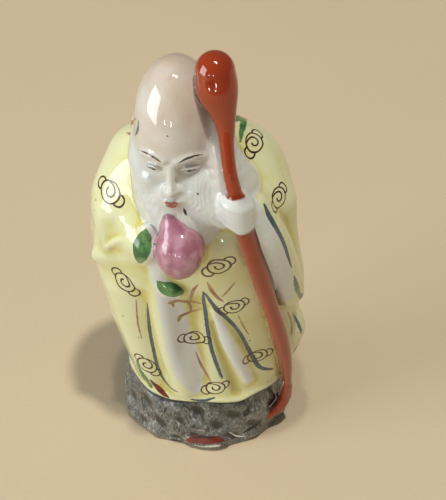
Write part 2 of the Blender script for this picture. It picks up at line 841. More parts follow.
# %% Following a pixel, or a bearing and a height, to the surface
skin = BVHTree.FromPolygons(points.tolist(), [list(f.vertices) for f in shape.polygons])


def seen_at(x, y):
    """Where the camera sees this pixel on the figure."""
    ray = Vector(sight(x, y))
    place, *_ = skin.ray_cast(Vector(eye), ray)
    if place is None:  # just beside the figure: the place that comes nearest to the line of sight
        tries = [skin.find_nearest(Vector(eye) + ray * away) for away in np.linspace(280, 400, 61)]
        place = min(tries, key=lambda found: found[3])[0]
    return np.array(place)


def spot(bearing, z):
    """The outermost place at a bearing in degrees and a height."""
    outward = np.array([math.sin(math.radians(bearing)), -math.cos(math.radians(bearing)), 0])
    place, *_ = skin.ray_cast(Vector(60 * outward + (0, 0, z)), Vector(-outward))
    return np.array(place)


def on_face(out, z):
    """A place on the face, from the front."""
    place, *_ = skin.ray_cast(Vector((FACE_X + out, -40, z)), Vector((0, 1, 0)))
    return np.array(place)


# %% One stroke, and a layer of strokes
NO_INK = -3.0


def stroke(places, widths):
    """For each vertex: the offset from the stroke's middle line, and the brush's half width less what fades it."""
    path = smooth_path(np.column_stack([places, widths]), 8)
    line, width = path[:, :3], path[:, 3]
    offset, ink = np.full(len(points), 9.0), np.full(len(points), NO_INK)
    spare = 3 + width.max()
    close = np.flatnonzero(np.all((points > line.min(0) - spare) & (points < line.max(0) + spare), axis=1))
    run = np.gradient(line, axis=0)
    run /= np.linalg.norm(run, axis=1)[:, None] + 1e-9
    for some in np.array_split(close, max(len(close) // 4000, 1)):
        gap = points[some][:, None] - line[None]
        nearest = (gap**2).sum(2).argmin(1)
        gap = gap[np.arange(len(some)), nearest]
        tangent = run[nearest]
        past = np.where((nearest == 0) | (nearest == len(line) - 1), np.abs((gap * tangent).sum(1)), 0)
        side = (gap * np.cross(normals[some], tangent)).sum(1)
        lift = np.abs((gap * normals[some]).sum(1))
        wide = width[nearest]
        fade = 1.2 * past + 2 * np.maximum(np.abs(side) - wide - 1, 0) + 2 * np.maximum(lift - 1.5, 0)
        offset[some], ink[some] = side, np.maximum(wide - fade, NO_INK)
    return offset, ink


def stroke_layer(name, strokes):
    offset, ink = np.full(len(points), 9.0), np.full(len(points), NO_INK)
    for places, widths in strokes:
        new_offset, new_ink = stroke(places, widths)
        better = new_ink - np.abs(new_offset) > ink - np.abs(offset)
        offset, ink = np.where(better, new_offset, offset), np.where(better, new_ink, ink)
    store(name, offset, ink, np.zeros(len(points)))
    print("strokes in", name, len(strokes), "on", int((ink > 0).sum()), "vertices")


def seen(*pixels):
    """A stroke from (x, y, half width in mm) rows."""
    return [seen_at(x, y) for x, y, _ in pixels], [w for *_, w in pixels]


def round_the_back(*rows):
    """A stroke from (bearing, height, half width in mm) rows."""
    return [spot(b, z) for b, z, _ in rows], [w for *_, w in rows]


def face_line(*rows):
    """A stroke from (distance from the face's middle, height, half width) rows."""
    return [on_face(x, z) for x, z, _ in rows], [w for *_, w in rows]


# %% The strokes of the robe
stroke_layer("blue_first", [
    seen((147, 301, 0.12), (148.4, 316, 0.34), (150, 331, 0.4), (153, 347, 0.4), (157, 364, 0.38), (163, 378, 0.34),
         (170, 387, 0.28), (180, 392.5, 0.12)),
    seen((204, 292, 0.2), (210.7, 301.5, 0.5), (216.5, 309, 0.55), (225, 316.4, 0.5), (233.6, 325, 0.46),
         (241, 335, 0.42), (248, 348, 0.46), (255, 361, 0.52), (261, 367.8, 0.5), (273.5, 369, 0.34)),
    seen((189, 399, 0.12), (202, 400.8, 0.4), (215, 397.5, 0.15)),
    seen((264, 204, 0.25), (268.5, 214, 0.6), (276, 227.5, 0.5), (282.5, 240, 0.48), (287.5, 254, 0.4), (292, 269, 0.15)),
    round_the_back((118, 58, 0.1), (121, 44, 0.5), (119, 30, 0.45), (112, 20, 0.1)),
    round_the_back((178, 62, 0.1), (176, 46, 0.5), (179, 30, 0.5), (186, 18, 0.1)),
    round_the_back((-124, 56, 0.1), (-127, 42, 0.5), (-122, 27, 0.45), (-114, 17, 0.1)),
])
stroke_layer("blue_second", [
    seen((203.4, 291.5, 0.2), (203.6, 300, 0.4), (205.5, 312, 0.44), (207.5, 328, 0.42), (211, 347, 0.44),
         (216.5, 364, 0.42), (222, 378, 0.3)),
    seen((293.5, 275, 0.15), (297, 284, 0.38), (301, 296, 0.25)),
    seen((292.5, 312, 0.15), (297, 321, 0.36), (301.5, 333, 0.25)),
    seen((138.4, 121, 0.2), (138, 129, 0.42), (135.5, 135, 0.25)),
])
stroke_layer("twig_first", [
    seen((168.5, 303.5, 0.25), (173, 302, 0.45), (178.5, 300.8, 0.42), (188, 301.6, 0.36), (201, 303.4, 0.25)),
    seen((207, 281.5, 0.2), (211, 289.5, 0.42), (216.5, 296.5, 0.42), (223.5, 302, 0.2)),
    seen((136, 298, 0.12), (138, 323, 0.22), (142.5, 341, 0.12)),
    seen((195.5, 351, 0.12), (200.8, 364, 0.3), (206.5, 374, 0.34), (210.5, 381, 0.2)),
    seen((178.5, 321, 0.42), (180.5, 316.5, 0.42), (186.5, 313.4, 0.36), (195, 310.6, 0.26), (202, 308.5, 0.1)),
    seen((287.5, 312, 0.15), (291, 321, 0.34), (292, 335, 0.12)),
    seen((127, 133, 0.3), (131, 124, 0.45), (136, 118.5, 0.3)),
    round_the_back((148, 52, 0.1), (150, 40, 0.3), (146, 28, 0.1)),
])
stroke_layer("twig_second", [
    seen((190.7, 300, 0.3), (193, 291, 0.36), (198.5, 284, 0.14)),
    seen((222, 297, 0.1), (228, 290.7, 0.22), (235.5, 282, 0.1)),
    seen((170, 302, 0.25), (173, 304.5, 0.3), (173.5, 307, 0.2)),
    seen((188, 302, 0.3), (190.2, 306, 0.3), (190.8, 310.5, 0.25)),
    seen((238, 315, 0.1), (243.5, 326.5, 0.16), (249, 335, 0.1)),
])

# %% White, green, iron-red and black areas
stroke_layer("white_area", [
    seen((152, 262, 1.3), (156, 276, 1.6), (164, 293, 2.2), (172, 312, 2.5), (178, 333, 2.8), (183, 352, 3.1),
         (190, 374, 2.9), (197, 390, 1.4)),
    seen((217, 316, 0.8), (223, 335, 1.2), (232, 354, 1.35), (243, 373, 1.45), (249, 382, 1.0)),
    seen((139.5, 136, 0.5), (139, 150, 1.2), (138.6, 163, 1.3), (140.5, 177, 1.3), (145, 191, 1.3), (149.5, 202, 1.4),
         (155, 213, 1.5), (156.5, 226, 1.5), (155, 240, 1.5), (154, 258, 1.4)),
    seen((254, 209, 1.4), (259, 224, 2.0), (267.5, 240, 2.5), (275, 261, 2.75), (281.5, 280, 2.5), (286, 293, 2.3),
         (286, 299, 1.5)),
])
stroke_layer("white_bridge", [
    seen((198, 238, 1.1), (203, 230, 1.4), (212, 225.5, 1.5), (220, 223.5, 1.5), (230, 225, 1.6), (240, 228, 1.8)),
    seen((246, 216, 1.6), (252, 226, 1.5), (259, 240, 1.2)),
])
stroke_layer("green_area", [
    seen((136.4, 360, 0.2), (139.5, 369, 0.7), (145, 378, 0.9), (151, 386.5, 0.5)),
    seen((301, 303, 0.4), (298, 292, 0.5), (294, 280, 0.2)),
    seen((302, 340, 0.7), (299, 346, 0.8), (294, 351.5, 0.4)),
    seen((238.5, 104, 0.4), (241, 118, 0.8), (241.5, 131, 0.6), (240, 142, 0.2)),
])
stroke_layer("leaf_area", [
    seen((146, 228.5, 0.2), (144.6, 236, 1.25), (141.6, 246, 1.95), (140, 254, 1.75), (139.6, 263, 0.5)),
    seen((156.8, 280.8, 0.15), (161.5, 286, 1.25), (168, 290.4, 1.75), (175.5, 291.8, 1.5), (181, 292.2, 0.9),
         (184, 292, 0.15)),
])
stroke_layer("rust_area", [
    seen((150, 379, 0.15), (155.5, 385, 0.6), (162, 391.5, 0.65), (169.5, 398, 0.2)),
    seen((186, 440.5, 0.25), (194, 439.4, 0.8), (205, 439.6, 1.05), (216, 439.6, 0.85), (224, 440.6, 0.25)),
])
stroke_layer("staff_area", [
    seen((244.5, 237.5, 1.2), (250.3, 247.5, 1.6), (256.3, 269, 1.75), (262.7, 285, 1.68), (266.6, 297, 1.42),
         (268.9, 304, 1.46), (273.8, 318, 1.55), (280.3, 337.5, 1.5), (284.6, 351, 1.35), (286.5, 361, 0.85),
         (286, 368, 0.35)),
    seen((286, 370, 0.4), (285, 378, 0.75), (286.4, 387, 0.68), (283, 397, 0.72), (277, 404.5, 0.5), (269, 413, 0.15)),
])
stroke_layer("black_area", [
    seen((250, 402.5, 0.1), (248.6, 407, 0.32), (246, 413, 0.75), (244.4, 416, 0.2)),
    seen((243.5, 432.5, 0.15), (250, 428.5, 0.4), (257, 424, 0.35), (263, 418, 0.1)),
    seen((193, 437.8, 0.1), (204, 436.6, 0.32), (215, 437.2, 0.1)),
    seen((134, 417, 0.1), (143, 427, 0.3), (158, 436.5, 0.3), (176, 442.5, 0.3), (190, 445.6, 0.1)),
    seen((240, 444, 0.1), (255, 437.5, 0.3), (268, 428, 0.1)),
])
stroke_layer("ledge_area", [
    seen((193, 445, 0.1), (200, 446.2, 0.34), (213, 446, 0.34), (221, 444.6, 0.1)),
    seen((146, 428.5, 0.1), (156, 434.5, 0.28), (166, 438.5, 0.2), (172, 441.4, 0.3), (176, 442, 0.1)),
    seen((283.6, 381.5, 0.1), (281, 390, 0.18), (276, 399, 0.2), (268, 408.5, 0.1)),
    seen((229, 431.6, 0.1), (236, 435.5, 0.2), (244, 436.4, 0.1)),
])

# %% Ink on the face, and the pinholes in the glaze
brows = [
    face_line((side * 1.7, BROW_LINE + 0.2, 0.1), (side * 3.1, BROW_LINE + 0.95, 0.22),
              (side * 4.7, BROW_LINE + 1.0, 0.18), (side * 6.2, BROW_LINE + 0.1, 0.05)) for side in SIDES]
lids = [
    face_line((side * 1.9, EYE_LINE - 0.35, 0.1), (side * 2.8, EYE_LINE + 0.1, 0.22),
              (side * 3.9, EYE_LINE + 0.1, 0.24), (side * 5.2, EYE_LINE - 0.5, 0.1)) for side in SIDES]
irises = [
    face_line((side * 3.3, EYE_LINE - 0.1, 0.34), (side * 3.5, EYE_LINE - 0.2, 0.4),
              (side * 3.7, EYE_LINE - 0.1, 0.34)) for side in SIDES]
stroke_layer("face_ink", lids)
stroke_layer("brow_ink", brows)
stroke_layer("iris_ink", [
    *irises,
    seen((183.8, 208.5, 0.12), (185, 212, 0.3), (186.5, 215.5, 0.12)),
    seen((197.5, 193.6, 0.16), (198.4, 194.4, 0.16)),
    seen((167, 135.8, 0.22), (168, 136.2, 0.22)),
])
stroke_layer("lip_red", [
    face_line((-1.5, MOUTH_LINE - 0.1, 0.1), (-0.7, MOUTH_LINE + 0.35, 0.3), (0, MOUTH_LINE + 0.22, 0.25),
              (0.7, MOUTH_LINE + 0.35, 0.3), (1.5, MOUTH_LINE - 0.1, 0.1)),
    face_line((-1.1, MOUTH_LINE - 0.45, 0.1), (0, MOUTH_LINE - 0.65, 0.42), (1.1, MOUTH_LINE - 0.45, 0.1)),
])

# %% [markdown]
# ## Cloud scrolls
# Clouds are scattered over the robe, each a spiral in an oval with a small cap at both ends. It is one
# drawing used many times, so each vertex near a cloud stores its place in that drawing, in millimetres from
# the cloud's middle. The drawing itself is a node group, which comes with the materials.

# %% Placing the clouds
CLOUD_HALF = 3.9  # half the length of the drawing


def cloud_layer(name, clouds):
    """Clouds from pairs of places at their two ends; mirror turns the spiral the other way."""
    u, v, mask = np.zeros(len(points)), np.zeros(len(points)), np.zeros(len(points))
    for (start, end), mirror in clouds:
        middle = (start + end) / 2
        vertex = np.linalg.norm(points - middle, axis=1).argmin()
        up, centre = normals[vertex], points[vertex]
        along = end - start
        size = np.clip(np.linalg.norm(along) / 2 / CLOUD_HALF, 0.85, 1.05)
        along = along - up * (along @ up)
        along /= np.linalg.norm(along)
        across = np.cross(up, along) * (-1 if mirror else 1)
        gap = points - centre
        close = (np.linalg.norm(gap, axis=1) < 1.3 * CLOUD_HALF * size) & (normals @ up > 0)
        flat = gap[close] - np.outer(gap[close] @ up, up)
        stretch = np.linalg.norm(gap[close], axis=1) / (np.linalg.norm(flat, axis=1) + 1e-6) / size
        u[close], v[close] = (flat @ along) * stretch, (flat @ across) * stretch
        mask[close] = 1
    store(name, u, v, mask)
    print("clouds", len(clouds))


def by_pixels(x0, y0, x1, y1):
    return seen_at(x0, y0), seen_at(x1, y1)


def by_bearing(bearing, z, tilt):
    centre, side = spot(bearing, z), math.radians(bearing)
    level = np.array([math.cos(side), math.sin(side), 0])
    along = math.cos(math.radians(tilt)) * level + math.sin(math.radians(tilt)) * np.array([0, 0, 1])
    return centre - CLOUD_HALF * along, centre + CLOUD_HALF * along


cloud_layer("cloud", [
    (by_pixels(100, 177, 124, 208), False),
    (by_pixels(113, 266, 138, 296), False),
    (by_pixels(246, 155, 258, 130), False),
    (by_pixels(273, 209, 285, 184), False),
    (by_pixels(203, 273, 237, 257), False),
    (by_pixels(219, 312, 249, 300), False),
    (by_pixels(178, 338, 212, 341), False),
    (by_pixels(243, 361, 273, 350), False),
    (by_pixels(202, 391, 231, 382), False),
    (by_pixels(136, 353, 159, 375), False),
    (by_bearing(-78, 38, -50), True),
    (by_bearing(-108, 66, 30), False),
    (by_bearing(-112, 34, 12), True),
    (by_bearing(-142, 50, -20), False),
    (by_bearing(-150, 24, 15), False),
    (by_bearing(176, 70, 8), False),
    (by_bearing(166, 42, -12), True),
    (by_bearing(152, 60, 25), True),
    (by_bearing(134, 34, -15), False),
    (by_bearing(160, 22, 18), True),
    (by_bearing(104, 56, 60), False),
    (by_bearing(100, 26, 40), False),
])

# %% [markdown]
# ## Materials
# Porcelain is white under a clear, very smooth glaze, so one shader is enough: a base colour mixed from the
# masks, a low roughness, and a faint bump where the glaze ran unevenly. The bare clay of the underside is a
# second, rough material. Helpers first: a small class that adds nodes and gives back their outputs, so that a
# mask can be read like a formula.

# %% Adding nodes
class Wires:
    def __init__(self, tree):
        self.tree = tree

    def node(self, kind, values=(), **settings):
        made = self.tree.nodes.new(kind)
        for name, value in settings.items():
            setattr(made, name, value)
        for socket, value in dict(values).items():
            if isinstance(value, bpy.types.NodeSocket):
                self.tree.links.new(value, made.inputs[socket])
            else:
                made.inputs[socket].default_value = value
        return made

    def math(self, operation, *values):
        return self.node("ShaderNodeMath", enumerate(values), operation=operation).outputs[0]

    def add(self, a, b):
        return self.math("ADD", a, b)

    def less(self, a, b):
        return self.math("SUBTRACT", a, b)

    def times(self, a, b):
        return self.math("MULTIPLY", a, b)

    def either(self, first, *others):
        for other in others:
            first = self.math("MAXIMUM", first, other)
        return first

    def rise(self, value, low, high):
        """From 0 to 1 as the value goes from low to high, smoothly."""
        made = self.node("ShaderNodeMapRange", {"Value": value, "From Min": low, "From Max": high},
                         interpolation_type="SMOOTHSTEP")
        return made.outputs[0]

    def mix(self, amount, a, b):
        made = self.node("ShaderNodeMix", {0: amount, 6: a, 7: b}, data_type="RGBA")
        return made.outputs[2]

    def noise(self, place, scale, detail=2.0, distortion=0.0):
        made = self.node("ShaderNodeTexNoise", {
            "Vector": place, "Scale": scale, "Detail": detail, "Distortion": distortion})
        return made.outputs["Fac"]

    def group(self, tree, values):
        return self.node("ShaderNodeGroup", values, node_tree=tree)

    def attribute(self, name):
        """The three numbers of a vertex attribute."""
        source = self.node("ShaderNodeAttribute", attribute_name=name)
        return self.node("ShaderNodeSeparateXYZ", {0: source.outputs["Vector"]}).outputs


def colour(red, green, blue):
    """A screen colour, 0 to 255, as the linear values that a shader takes."""
    linear = [c / 12.92 if c <= 0.04045 else ((c + 0.055) / 1.055) ** 2.4 for c in (red / 255, green / 255, blue / 255)]
    return (*linear, 1.0)


def new_group(name, inputs, outputs):
    """A shader node group with plain number or colour sockets, from name: (kind, value) pairs."""
    tree = bpy.data.node_groups.new(name, "ShaderNodeTree")
    for label, (kind, value) in inputs.items():
        socket = tree.interface.new_socket(label, in_out="INPUT", socket_type="NodeSocket" + kind)
        socket.default_value = value
    for label, kind in outputs.items():
        tree.interface.new_socket(label, in_out="OUTPUT", socket_type="NodeSocket" + kind)
    return Wires(tree), tree.nodes.new("NodeGroupInput").outputs, tree.nodes.new("NodeGroupOutput").inputs


# %% [markdown]
# A brush stroke becomes a mask where the offset is less than the half width. A little noise shakes the edge
# and lets the paint run thin here and there, as it does when the brush is dragged over glaze.

# %% The brush stroke group
wires, given, gives = new_group(
    "brush stroke", {"Offset": ("Float", 9.0), "Width": ("Float", -3.0), "Shake": ("Float", 0.12),
                     "Soft Edge": ("Float", 0.06)},
    {"Mask": "Float", "Depth": "Float"})
place = wires.node("ShaderNodeTexCoord").outputs["Object"]
shake = wires.times(wires.less(wires.noise(place, 900, 2), 0.5), given["Shake"])
gap = wires.less(wires.add(given["Width"], wires.times(shake, 2.0)), wires.math("ABSOLUTE", given["Offset"]))
wires.tree.links.new(wires.rise(gap, wires.times(given["Soft Edge"], -1.0), given["Soft Edge"]), gives["Mask"])
wires.tree.links.new(wires.add(0.62, wires.times(wires.noise(place, 420, 3), 0.7)), gives["Depth"])
brush = wires.tree

# %% [markdown]
# The cloud is drawn from distances too. An oval ring is the place where a stretched radius is 1. A spiral
# is the place where the radius equals a value that grows with the angle. Each cap is a small ring that only
# shows outside the oval.

# %% The cloud scroll group
RING_WIDE, RING_HIGH = 2.45, 1.95
CAP_CENTRE, CAP_WIDE, CAP_HIGH = 2.7, 1.15, 1.2
wires, given, gives = new_group(
    "cloud scroll", {"Along": ("Float", 0.0), "Across": ("Float", 0.0), "Near": ("Float", 0.0),
                     "Line": ("Float", 0.2)}, {"Mask": "Float"})
place = wires.node("ShaderNodeTexCoord").outputs["Object"]
along = wires.add(given["Along"], wires.times(wires.less(wires.noise(place, 260, 2), 0.5), 0.7))
across = wires.add(given["Across"], wires.times(wires.less(wires.noise(place, 300, 1), 0.5), 0.6))
x, y = wires.math("DIVIDE", along, RING_WIDE), wires.math("DIVIDE", across, RING_HIGH)
radius = wires.math("SQRT", wires.add(wires.times(x, x), wires.times(y, y)))
angle = wires.math("DIVIDE", wires.math("ARCTAN2", y, x), 2 * math.pi)
turn = wires.math("FRACT", wires.add(angle, 0.62))
inner = wires.add(wires.add(0.34, wires.times(turn, 0.16)), wires.times(wires.math("POWER", turn, 7.0), 0.5))
ring_gap = wires.times(wires.math("ABSOLUTE", wires.less(radius, 1.0)), 2.1)
spiral_gap = wires.times(wires.math("ABSOLUTE", wires.less(radius, inner)), 1.9)


def cap_gap(side):
    cx = wires.math("DIVIDE", wires.less(along, side * CAP_CENTRE), CAP_WIDE)
    cy = wires.math("DIVIDE", wires.less(across, side * 0.15), CAP_HIGH)
    size = wires.math("SQRT", wires.add(wires.times(cx, cx), wires.times(cy, cy)))
    gap = wires.times(wires.math("ABSOLUTE", wires.less(size, 1.0)), 1.15)
    return wires.add(gap, wires.times(wires.rise(radius, 1.04, 0.98), 4.0))


nearest = ring_gap
for other in (spiral_gap, cap_gap(-1), cap_gap(1)):
    nearest = wires.math("MINIMUM", nearest, other)
pressure = wires.add(0.62, wires.times(wires.noise(place, 500, 2), 0.75))
line = wires.times(given["Line"], pressure)
mask = wires.rise(wires.less(line, nearest), -0.05, 0.06)
wires.tree.links.new(wires.times(mask, wires.rise(given["Near"], 0.96, 0.999)), gives["Mask"])
cloud_scroll = wires.tree

# %% [markdown]
# Both materials share fine specks: iron spots in the clay that show through the glaze as well.

# %% The speck group
wires, given, gives = new_group("fine specks", {"Scale": ("Float", 700.0), "Share": ("Float", 0.2)},
                                {"Mask": "Float", "Grain": "Float"})
place = wires.node("ShaderNodeTexCoord").outputs["Object"]
dots = wires.node("ShaderNodeTexVoronoi", {"Vector": place, "Scale": given["Scale"]})
size = wires.times(wires.node("ShaderNodeSeparateColor", {0: dots.outputs["Color"]}).outputs[0], given["Share"])
wires.tree.links.new(wires.rise(wires.less(size, dots.outputs["Distance"]), -0.02, 0.05), gives["Mask"])
wires.tree.links.new(wires.noise(place, 1500, 4), gives["Grain"])
specks = wires.tree

# %% The painted glaze: areas of colour
glaze = bpy.data.materials.new("painted_glaze")
glaze.use_nodes = True
glaze.node_tree.nodes.clear()
g = Wires(glaze.node_tree)
place = g.node("ShaderNodeTexCoord").outputs["Object"]
wander = g.times(g.less(g.noise(place, 330, 3), 0.5), 0.5)

WHITE, WHITE_COOL = colour(228, 229, 222), colour(208, 216, 217)
YELLOW_PALE, YELLOW, YELLOW_DEEP = colour(227, 230, 186), colour(222, 221, 158), colour(208, 199, 118)
PEACH_PALE, PEACH, PEACH_DEEP = colour(196, 150, 168), colour(168, 108, 128), colour(134, 58, 78)
RED, RED_DARK, RED_THIN = colour(136, 40, 12), colour(94, 22, 8), colour(164, 62, 26)
GREEN, GREEN_DARK, GREEN_PALE = colour(104, 150, 88), colour(44, 100, 50), colour(150, 186, 120)
ROCK_DARK, ROCK_GREY, ROCK_PALE = colour(44, 45, 44), colour(112, 114, 111), colour(188, 191, 187)
BLUE, BLUE_DARK = colour(98, 120, 130), colour(56, 76, 88)
OCHRE, OCHRE_DARK, RUST = colour(196, 166, 126), colour(156, 110, 76), colour(112, 34, 18)
INK, INK_RED, INK_BROWN = colour(34, 20, 16), colour(84, 32, 20), colour(96, 80, 70)
SKIN, SKIN_DARK = colour(214, 196, 176), colour(188, 162, 138)
LIP, LIP_DARK = colour(190, 100, 82), colour(156, 66, 54)
SPOT = colour(176, 160, 84)

hem_zone, level, staff_zone = g.attribute("zone_ground")
peach_zone, leaf_zone, collar_zone = g.attribute("zone_fruit")
head_zone, beard_zone, pale_zone = g.attribute("zone_head")
hollow_value = g.node("ShaderNodeAttribute", attribute_name="hollow").outputs["Fac"]
brush_uses = {}
WASHES = {"white_area": 0.35, "white_bridge": 0.25, "green_area": 0.15}  # soft edges, in mm
for layer in ("blue_first", "blue_second", "twig_first", "twig_second", "white_area", "white_bridge", "green_area",
              "leaf_area", "rust_area", "staff_area", "black_area", "ledge_area", "face_ink", "brow_ink", "iris_ink",
              "lip_red"):
    offset, width, _ = g.attribute(layer)
    brush_uses[layer] = g.group(brush, {
        "Offset": offset, "Width": width, "Soft Edge": WASHES.get(layer, 0.07),
        "Shake": 0.3 if layer in WASHES else 0.12})


def painted(layer):
    return brush_uses[layer].outputs["Mask"]


def within(distance, edge=0.35, soft=0.12, shake=1.0):
    """1 where a zone's form is close under the surface."""
    moved = g.add(distance, g.times(wander, shake))
    return g.rise(moved, edge + soft, edge - soft)


staff_mask = g.either(within(staff_zone, 0.3, 0.1, 0.4), painted("staff_area"))
peach_mask = within(peach_zone, 0.6, 0.12, 0.5)
leaf_mask = painted("leaf_area")
white_mask = g.either(within(pale_zone, 0.7, 0.3), painted("white_area"), painted("white_bridge"),
                      g.rise(hem_zone, 0.8, 0.3))
rock_mask = g.rise(g.add(hem_zone, g.times(wander, 0.5)), 0.12, -0.12)

# %% Yellow glaze over white
cool = g.mix(g.noise(place, 120, 2), WHITE, WHITE_COOL)
pooled = g.rise(g.add(hollow_value, g.times(g.less(g.noise(place, 160, 4), 0.5), 2.2)), -0.9, 1.3)
yellow = g.mix(g.rise(pooled, 0.0, 0.6), YELLOW_PALE, YELLOW)
yellow = g.mix(g.rise(pooled, 0.6, 1.0), yellow, YELLOW_DEEP)
base = g.mix(g.less(1.0, white_mask), cool, yellow)
leaf_colour = g.mix(g.rise(g.noise(place, 420, 3), 0.35, 0.65), GREEN, GREEN_DARK)
collar_mask = g.either(g.times(within(collar_zone, 0.3), g.rise(pale_zone, 0.3, 0.6)), painted("green_area"))
base = g.mix(collar_mask, base, leaf_colour)

# %% Skin wash on the head, thickest on the crown and on the side by the staff
patchy = g.rise(g.noise(place, 110, 3), 0.25, 0.8)
crown = g.rise(level, 82, 96)
wash = g.times(within(head_zone, 0.3, 0.3), g.rise(beard_zone, 0.2, 1.2))
base = g.mix(g.times(wash, g.add(g.times(patchy, 0.5), g.times(crown, 0.35))), base, SKIN)
base = g.mix(g.times(wash, g.times(patchy, g.times(crown, 0.7))), base, SKIN_DARK)

# %% Rock, peach, leaves and staff
rubbed = g.node("ShaderNodeVectorMath", {0: place, 1: (1.0, 1.0, 0.55)}, operation="MULTIPLY").outputs[0]
veins = g.noise(rubbed, 620, 6, 3.2)
broad = g.noise(rubbed, 240, 3, 1.5)
tone = g.add(g.times(veins, 0.75), g.times(broad, 0.25))
stone = g.mix(g.rise(tone, 0.36, 0.52), ROCK_DARK, ROCK_GREY)
stone = g.mix(g.rise(tone, 0.55, 0.68), stone, ROCK_PALE)
stone = g.mix(g.rise(hollow_value, 0.2, 0.9), stone, ROCK_DARK)
base = g.mix(rock_mask, base, stone)
ripe = g.rise(g.add(level, g.times(g.less(g.noise(place, 300, 3), 0.5), 6.0)), 61.5, 57.5)
flesh = g.mix(g.rise(g.noise(place, 380, 3), 0.35, 0.7), PEACH, PEACH_PALE)
flesh = g.mix(g.rise(hollow_value, 0.3, 0.9), flesh, PEACH_PALE)
base = g.mix(peach_mask, base, g.mix(ripe, flesh, PEACH_DEEP))
base = g.mix(leaf_mask, base, leaf_colour)
red = g.mix(g.rise(g.add(hollow_value, g.times(g.noise(place, 260, 3), 1.0)), 0.2, 1.1), RED, RED_DARK)
red = g.mix(g.times(g.rise(hollow_value, -0.2, -0.9), 0.6), red, RED_THIN)
base = g.mix(painted("rust_area"), base, RUST)
base = g.mix(staff_mask, base, red)
base = g.mix(painted("ledge_area"), base, WHITE)
base = g.mix(painted("black_area"), base, colour(14, 13, 13))

# %% Lines over everything
def line_over(under, layer, thin, thick):
    """A stroke's colour over what lies under it; the paint is thicker where the brush pressed."""
    depth = brush_uses[layer].outputs["Depth"]
    paint = g.mix(g.rise(depth, 0.7, 1.15), thin, thick)
    return g.mix(g.times(painted(layer), g.rise(depth, 0.0, 0.6)), under, paint)


for layer in ("twig_first", "twig_second"):
    base = line_over(base, layer, OCHRE, OCHRE_DARK)
for layer in ("blue_first", "blue_second"):
    base = line_over(base, layer, BLUE, BLUE_DARK)
along, across, near = g.attribute("cloud")
cloud_use = g.group(cloud_scroll, {"Along": along, "Across": across, "Near": near, "Line": 0.19})
robe_only = g.times(g.less(1.0, rock_mask), g.less(1.0, g.either(staff_mask, peach_mask, leaf_mask)))
cloud_mask = g.times(cloud_use.outputs["Mask"], robe_only)
base = g.mix(cloud_mask, base, g.mix(g.noise(place, 350, 2), INK, INK_RED))
base = line_over(base, "lip_red", LIP, LIP_DARK)
base = line_over(base, "brow_ink", INK_BROWN, colour(70, 56, 48))
for layer in ("face_ink", "iris_ink"):
    base = line_over(base, layer, colour(60, 48, 44), INK)
speck_use = g.group(specks, {"Scale": 260.0, "Share": 0.1})
base = g.mix(g.times(speck_use.outputs["Mask"], 0.55), base, colour(120, 96, 70))

# %% Gloss and relief of the glaze
paint_mask = g.either(cloud_mask, *(painted(layer) for layer in brush_uses if layer not in WASHES))
rough = g.add(0.07, g.times(paint_mask, 0.12))
rough = g.add(rough, g.times(rock_mask, 0.3))
ripples = g.times(g.noise(place, 200, 1), 0.30)
relief = g.add(ripples, g.times(paint_mask, 0.05))
relief = g.add(relief, g.times(g.times(rock_mask, tone), 1.2))
bump = g.node("ShaderNodeBump", {"Height": relief, "Strength": 0.6, "Distance": 0.00025})
shader = g.node("ShaderNodeBsdfPrincipled", {
    "Base Color": base, "Roughness": rough, "Normal": bump.outputs[0], "IOR": 1.5, "Coat Weight": 0.6,
    "Coat Roughness": 0.03})
output = g.node("ShaderNodeOutputMaterial", {0: shader.outputs[0]})
print("painted glaze has", len(glaze.node_tree.nodes), "nodes")

# %% The bare clay of the underside
clay = bpy.data.materials.new("bare_clay")
clay.use_nodes = True
clay.node_tree.nodes.clear()
c = Wires(clay.node_tree)
place = c.node("ShaderNodeTexCoord").outputs["Object"]
speck_use = c.group(specks, {"Scale": 500.0, "Share": 0.3})
biscuit = c.mix(c.rise(c.noise(place, 180, 4), 0.3, 0.7), colour(226, 216, 198), colour(206, 190, 168))
biscuit = c.mix(speck_use.outputs["Mask"], biscuit, colour(110, 84, 62))
grain = c.node("ShaderNodeBump", {"Height": speck_use.outputs["Grain"], "Strength": 0.5, "Distance": 0.0002})
shader = c.node("ShaderNodeBsdfPrincipled", {"Base Color": biscuit, "Roughness": 0.85, "Normal": grain.outputs[0]})
c.node("ShaderNodeOutputMaterial", {0: shader.outputs[0]})
print("bare clay has", len(clay.node_tree.nodes), "nodes")

# %% [markdown]
# ## Fine relief with Geometry Nodes
# The rock's skin is wrinkled and the beard is combed. Both are the same small rule used all over an area, so
# Geometry Nodes move the vertices along their normals: by a distorted noise on the rock, and by waves across
# the locks in the beard. The same tree sets the two materials.

# %% Masks for the relief
store("rock_relief", ramp(hem(bearing) - height, 0.3, 1.4) * ramp(height, 0.2, 1.5))
beard_mask = ramp(-zone_distance("beard"), -0.4, 0.1) * ramp(zone_distance("peach"), 0.2, 1.0)
store("beard_relief", beard_mask)
comb = points[:, 0] + 0.35 * np.sin(0.35 * points[:, 2]) * (points[:, 0] - FACE_X) * 0.3
store("comb", comb)

# %% The relief tree
relief_tree = bpy.data.node_groups.new("figure relief", "GeometryNodeTree")
relief_tree.interface.new_socket("Geometry", in_out="INPUT", socket_type="NodeSocketGeometry")
for name, value in {"Rock Depth": 0.28, "Rock Grain": 0.6, "Beard Depth": 0.05, "Beard Spacing": 1.2,
                    "Seed": 3.0}.items():
    relief_tree.interface.new_socket(name, in_out="INPUT", socket_type="NodeSocketFloat").default_value = value
for name, material in {"Glaze": glaze, "Clay": clay}.items():
    relief_tree.interface.new_socket(name, in_out="INPUT", socket_type="NodeSocketMaterial")
relief_tree.interface.new_socket("Geometry", in_out="OUTPUT", socket_type="NodeSocketGeometry")
r = Wires(relief_tree)
given = relief_tree.nodes.new("NodeGroupInput").outputs


